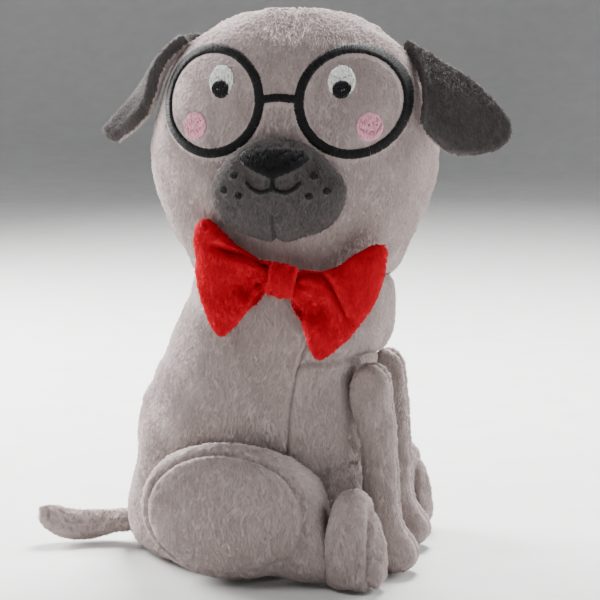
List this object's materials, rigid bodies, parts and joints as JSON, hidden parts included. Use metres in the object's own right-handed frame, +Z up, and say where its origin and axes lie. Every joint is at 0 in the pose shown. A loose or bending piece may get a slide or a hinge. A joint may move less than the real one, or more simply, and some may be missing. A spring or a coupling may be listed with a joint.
{
  "type": "plush dog",
  "caption": "Seated plush dog in taupe fabric with a dark muzzle and ears, stitched round glasses and a red bow tie; head, ears, legs, feet, tail and bow move.",
  "frame": {"origin": "middle of the flat seat, on the surface that the dog sits on", "axes": "+Z up; the chest faces -Y, the tail +Y, and the right side of the dog is -X"},
  "size_m": [0.1552, 0.2237, 0.255],
  "materials": {
    "taupe_minky": "matte",
    "charcoal_plush": "matte",
    "red_minky": "matte",
    "black_thread": "satin",
    "white_thread": "satin",
    "pink_thread": "satin",
    "polyester_fill": "matte",
    "pouch_cloth": "matte"
  },
  "bodies": {
    "torso": {"base_panel": "taupe_minky", "side_panel_left": "taupe_minky", "side_panel_right": "taupe_minky", "chest_panel": "taupe_minky", "belly_panel": "taupe_minky", "body_stuffing": "polyester_fill", "pellet_pouch": "pouch_cloth", "thigh_panel_left": "taupe_minky", "thigh_panel_right": "taupe_minky", "thigh_gusset_left": "taupe_minky", "thigh_gusset_right": "taupe_minky", "thigh_stuffing_left": "polyester_fill", "thigh_stuffing_right": "polyester_fill"},
    "neck": {"neck_stuffing": "polyester_fill"},
    "head": {"face_panel": "taupe_minky", "head_back_left": "taupe_minky", "head_back_right": "taupe_minky", "head_stuffing": "polyester_fill", "muzzle_panel": "charcoal_plush", "muzzle_stuffing": "polyester_fill", "glasses_stitching": "black_thread", "eye_whites": "white_thread", "pupils": "black_thread", "cheek_blush": "pink_thread", "nose_stitching": "black_thread", "mouth_stitching": "black_thread", "whisker_dots": "black_thread"},
    "ear_left": {"ear_front_left": "charcoal_plush", "ear_lining_left": "taupe_minky"},
    "ear_right": {"ear_front_right": "charcoal_plush", "ear_lining_right": "taupe_minky"},
    "bow_tie": {"bow_loop_left": "red_minky", "bow_loop_right": "red_minky", "bow_knot": "red_minky"},
    "front_leg_left": {"front_leg_outer_left": "taupe_minky", "front_leg_inner_left": "taupe_minky", "front_leg_stuffing_left": "polyester_fill"},
    "front_leg_right": {"front_leg_outer_right": "taupe_minky", "front_leg_inner_right": "taupe_minky", "front_leg_stuffing_right": "polyester_fill"},
    "hind_foot_left": {"hind_foot_upper_left": "taupe_minky", "hind_foot_sole_left": "taupe_minky", "hind_foot_stuffing_left": "polyester_fill"},
    "hind_foot_right": {"hind_foot_upper_right": "taupe_minky", "hind_foot_sole_right": "taupe_minky", "hind_foot_stuffing_right": "polyester_fill"},
    "tail": {"tail_top": "taupe_minky", "tail_underside": "taupe_minky", "tail_stuffing": "polyester_fill"}
  },
  "joints": [
    {"name": "head_turn", "type": "hinge", "parent": "torso", "child": "neck", "pos_m": [0, -0.007, 0.134], "axis": [0, 0, 1], "range_deg": [-20, 20], "stiffness_Nm_per_rad": 0.35},
    {"name": "head_nod", "type": "hinge", "parent": "neck", "child": "head", "pos_m": [0, -0.007, 0.134], "axis": [0.1392, -0.9903, 0], "range_deg": [-8, 1.5], "stiffness_Nm_per_rad": 1.2},
    {"name": "ear_flap_left", "type": "hinge", "parent": "head", "child": "ear_left", "pos_m": [-0.00492, -0.05818, 0.236], "axis": [-0.9903, -0.1392, 0], "range_deg": [0, 28], "stiffness_Nm_per_rad": 0.02},
    {"name": "ear_flap_right", "type": "hinge", "parent": "head", "child": "ear_right", "pos_m": [-0.00654, 0.03954, 0.24], "axis": [0.9903, 0.1392, 0], "range_deg": [0, 28], "stiffness_Nm_per_rad": 0.02},
    {"name": "bow_swing", "type": "hinge", "parent": "neck", "child": "bow_tie", "pos_m": [-0.06013, -0.01747, 0.1375], "axis": [-0.9903, -0.1392, 0], "range_deg": [-1, 6], "stiffness_Nm_per_rad": 0.02},
    {"name": "front_leg_swing_left", "type": "hinge", "parent": "torso", "child": "front_leg_left", "pos_m": [0.022, -0.05, 0.09], "axis": [-1, 0, 0], "range_deg": [0, 25], "stiffness_Nm_per_rad": 0.08},
    {"name": "front_leg_swing_right", "type": "hinge", "parent": "torso", "child": "front_leg_right", "pos_m": [-0.022, -0.05, 0.09], "axis": [-1, 0, 0], "range_deg": [0, 25], "stiffness_Nm_per_rad": 0.08},
    {"name": "hind_foot_bend_left", "type": "hinge", "parent": "torso", "child": "hind_foot_left", "pos_m": [0.052, -0.034, 0.012], "axis": [1, 0, 0], "range_deg": [0, 15], "stiffness_Nm_per_rad": 0.05},
    {"name": "hind_foot_bend_right", "type": "hinge", "parent": "torso", "child": "hind_foot_right", "pos_m": [-0.052, -0.034, 0.012], "axis": [1, 0, 0], "range_deg": [0, 15], "stiffness_Nm_per_rad": 0.05},
    {"name": "tail_wag", "type": "hinge", "parent": "torso", "child": "tail", "pos_m": [-0.003, 0.0775, 0.0135], "axis": [0, 0, 1], "range_deg": [-20, 20], "stiffness_Nm_per_rad": 0.01}
  ]
}
